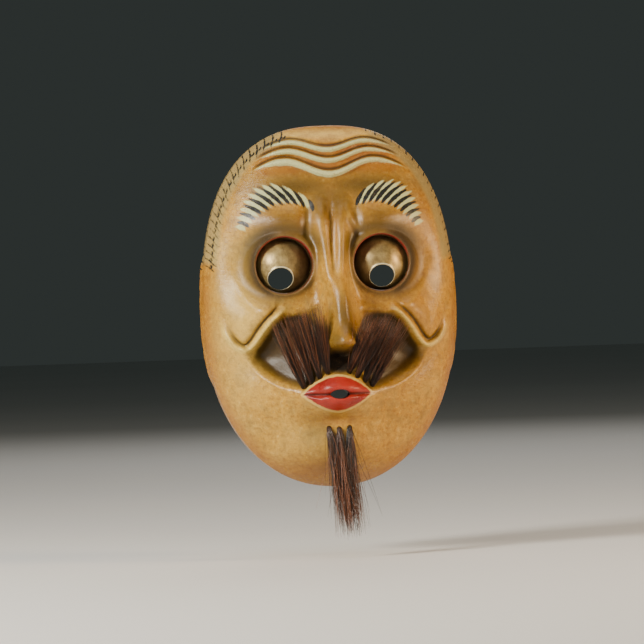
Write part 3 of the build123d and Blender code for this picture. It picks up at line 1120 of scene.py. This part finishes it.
def gilt_material():
    """Worn gilding on copper, with painted shade towards the nose."""
    m = Nodes("worn_gilding")
    cloud = m.noise(160.0, 6.0, 0.65)
    fine = m.noise(1100.0, 4.0, 0.7)
    lines = m.noise(420.0, 3.0, 0.6, (1.0, 1.0, 0.22))
    m.colour = m.mix(m.ramp(cloud, 0.35, 0.65), (0.18, 0.12, 0.038), (0.44, 0.33, 0.13))
    # Painted shade on the nose side of the eye
    m.tint("nasal", -0.1, 1.0, 0.72, (0.13, 0.07, 0.03))
    m.tint(lines, 0.52, 0.7, 0.55, (0.16, 0.10, 0.05))
    m.tint(fine, 0.6, 0.75, 0.7, (0.20, 0.12, 0.06))
    # A pale painted highlight along the rolled lip of the sight hole
    m.tint("bead", 0.3, 0.9, 0.9, (0.84, 0.76, 0.50))
    height = m.math("ADD", m.math("MULTIPLY", fine, 0.5), cloud)
    return m.finish({
        "Base Color": m.colour,
        "Metallic": 0.55,
        "Roughness": m.ramp(cloud, 0.3, 0.7, 0.30, 0.48),
        "Normal": m.bump(height, 0.00012, 0.7),
    })


def hair_material():
    """Dark brown horsehair, some strands redder."""
    m = Nodes("horsehair")
    along = m.noise(260.0, 3.0)
    m.colour = m.mix(m.ramp("tone", 0.22, 1.0), (0.009, 0.005, 0.004), (0.30, 0.095, 0.036))
    m.tint(along, 0.5, 0.75, 0.35, (0.05, 0.024, 0.014))
    return m.finish({
        "Base Color": m.colour,
        "Roughness": m.ramp(along, 0.3, 0.7, 0.34, 0.5),
        "Normal": m.bump(along, 0.00003, 0.4),
    })


def peg_material():
    """Split cypress with a fine straight grain."""
    m = Nodes("split_cypress")
    grain = m.noise(900.0, 5.0, 0.6, (1.0, 0.12, 0.12))
    m.colour = m.mix(m.ramp(grain, 0.35, 0.65), (0.30, 0.17, 0.07), (0.52, 0.34, 0.17))
    m.tint(m.noise(90.0, 4.0), 0.45, 0.7, 0.6, (0.12, 0.06, 0.03))
    return m.finish({
        "Base Color": m.colour,
        "Roughness": m.ramp(grain, 0.3, 0.7, 0.55, 0.75),
        "Normal": m.bump(grain, 0.0001, 0.8),
    })


def floor_material():
    """A matt floor, very faintly uneven in tone."""
    m = Nodes("pale_floor")
    tone = m.mix(m.ramp(m.noise(1.3, 3.0), 0.3, 0.7), (0.71, 0.70, 0.68), (0.74, 0.73, 0.71))
    return m.finish({"Base Color": tone, "Roughness": 0.85})


def give(piece, material):
    """Puts one material on a piece, in place of any it has."""
    piece.data.materials.clear()
    piece.data.materials.append(material)


# ---- stage, light and camera

def make_stage():
    """A plain pale floor just under the beard."""
    gap = 0.012
    floor_z = cad_box[0][2] - gap
    half_side = 12.0
    places = [(half_side * x, half_side * y, floor_z) for x, y in ((-1, -1), (1, -1), (1, 1), (-1, 1))]
    data = bpy.data.meshes.new("floor")
    data.from_pydata(places, [], [(0, 1, 2, 3)])
    floor = add_object("floor", data)
    give(floor, floor_material())


def add_light(name, place, size, power, colour):
    """A soft rectangular light that faces the mask."""
    light = bpy.data.lights.new(name, "AREA")
    light.shape = "RECTANGLE"
    light.size, light.size_y = size
    light.energy = power
    light.color = colour
    lamp = add_object(name, light)
    lamp.location = place
    lamp.rotation_euler = (Vector((0.0, -0.03, 0.0)) - Vector(place)).to_track_quat("-Z", "Y").to_euler()


def light_scene():
    """A key light from the left, a warmer one from the right, weak fill, and a dim room behind."""
    add_light("key_left", (-1.05, -0.70, 0.50), (0.28, 0.45), 30.0, (1.0, 0.95, 0.84))
    add_light("warm_right", (1.05, -0.50, 0.20), (0.25, 0.45), 15.0, (1.0, 0.72, 0.42))
    add_light("front_fill", (0.2, -1.8, 0.7), (1.2, 1.2), 4.5, (1.0, 0.95, 0.86))
    add_light("top", (0.0, -0.2, 1.3), (1.0, 0.7), 5.0, (1.0, 0.98, 0.95))
    add_light("back_soft", (0.3, 1.6, 1.2), (1.2, 1.2), 7.0, (1.0, 0.98, 0.95))
    world = bpy.data.worlds.new("studio")
    world.use_nodes = True
    background = world.node_tree.nodes["Background"]
    background.inputs["Color"].default_value = (0.30, 0.36, 0.34, 1.0)
    background.inputs["Strength"].default_value = 0.10
    bpy.context.scene.world = world


def place_camera():
    """Looks almost straight at the face, from slightly to its left, with a small tilt of the head."""
    distance = 2.0
    azimuth = radians(5.5)
    roll = radians(2.0)
    view_width = 0.3606
    sensor = 36.0
    away = Vector((-sin(azimuth), -cos(azimuth), 0.0))
    camera_data = bpy.data.cameras.new("camera")
    camera_data.sensor_width = sensor
    camera_data.lens = sensor * distance / view_width
    camera = add_object("camera", camera_data)
    turn = (-away).to_track_quat("-Z", "Y").to_matrix() @ Matrix.Rotation(-roll, 3, "Z")
    right = turn @ Vector((1, 0, 0))
    up = turn @ Vector((0, 1, 0))
    middle = right * -0.0028 + up * -0.0090
    camera.matrix_world = Matrix.Translation(middle + away * distance) @ turn.to_4x4()
    bpy.context.scene.camera = camera


# ---- making everything

place_camera()
make_stage()
light_scene()

gilt = gilt_material()
hair_finish = hair_material()
peg_finish = peg_material()

shell_piece = carve_shell()
drill_cord_holes(shell_piece)
give(shell_piece, paint_material())
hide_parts("mask_shell")
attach(shell_piece, "root")

for word in ("left", "right"):
    eye_piece = make_eye(word)
    give(eye_piece, gilt)
    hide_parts("eyeball_" + word)
    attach(eye_piece, "root")

for tuft in make_hair():
    give(tuft, hair_finish)
    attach(tuft, "root")

for node in ("moustache_pegs_left", "moustache_pegs_right", "beard_pegs"):
    give(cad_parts[node], peg_finish)
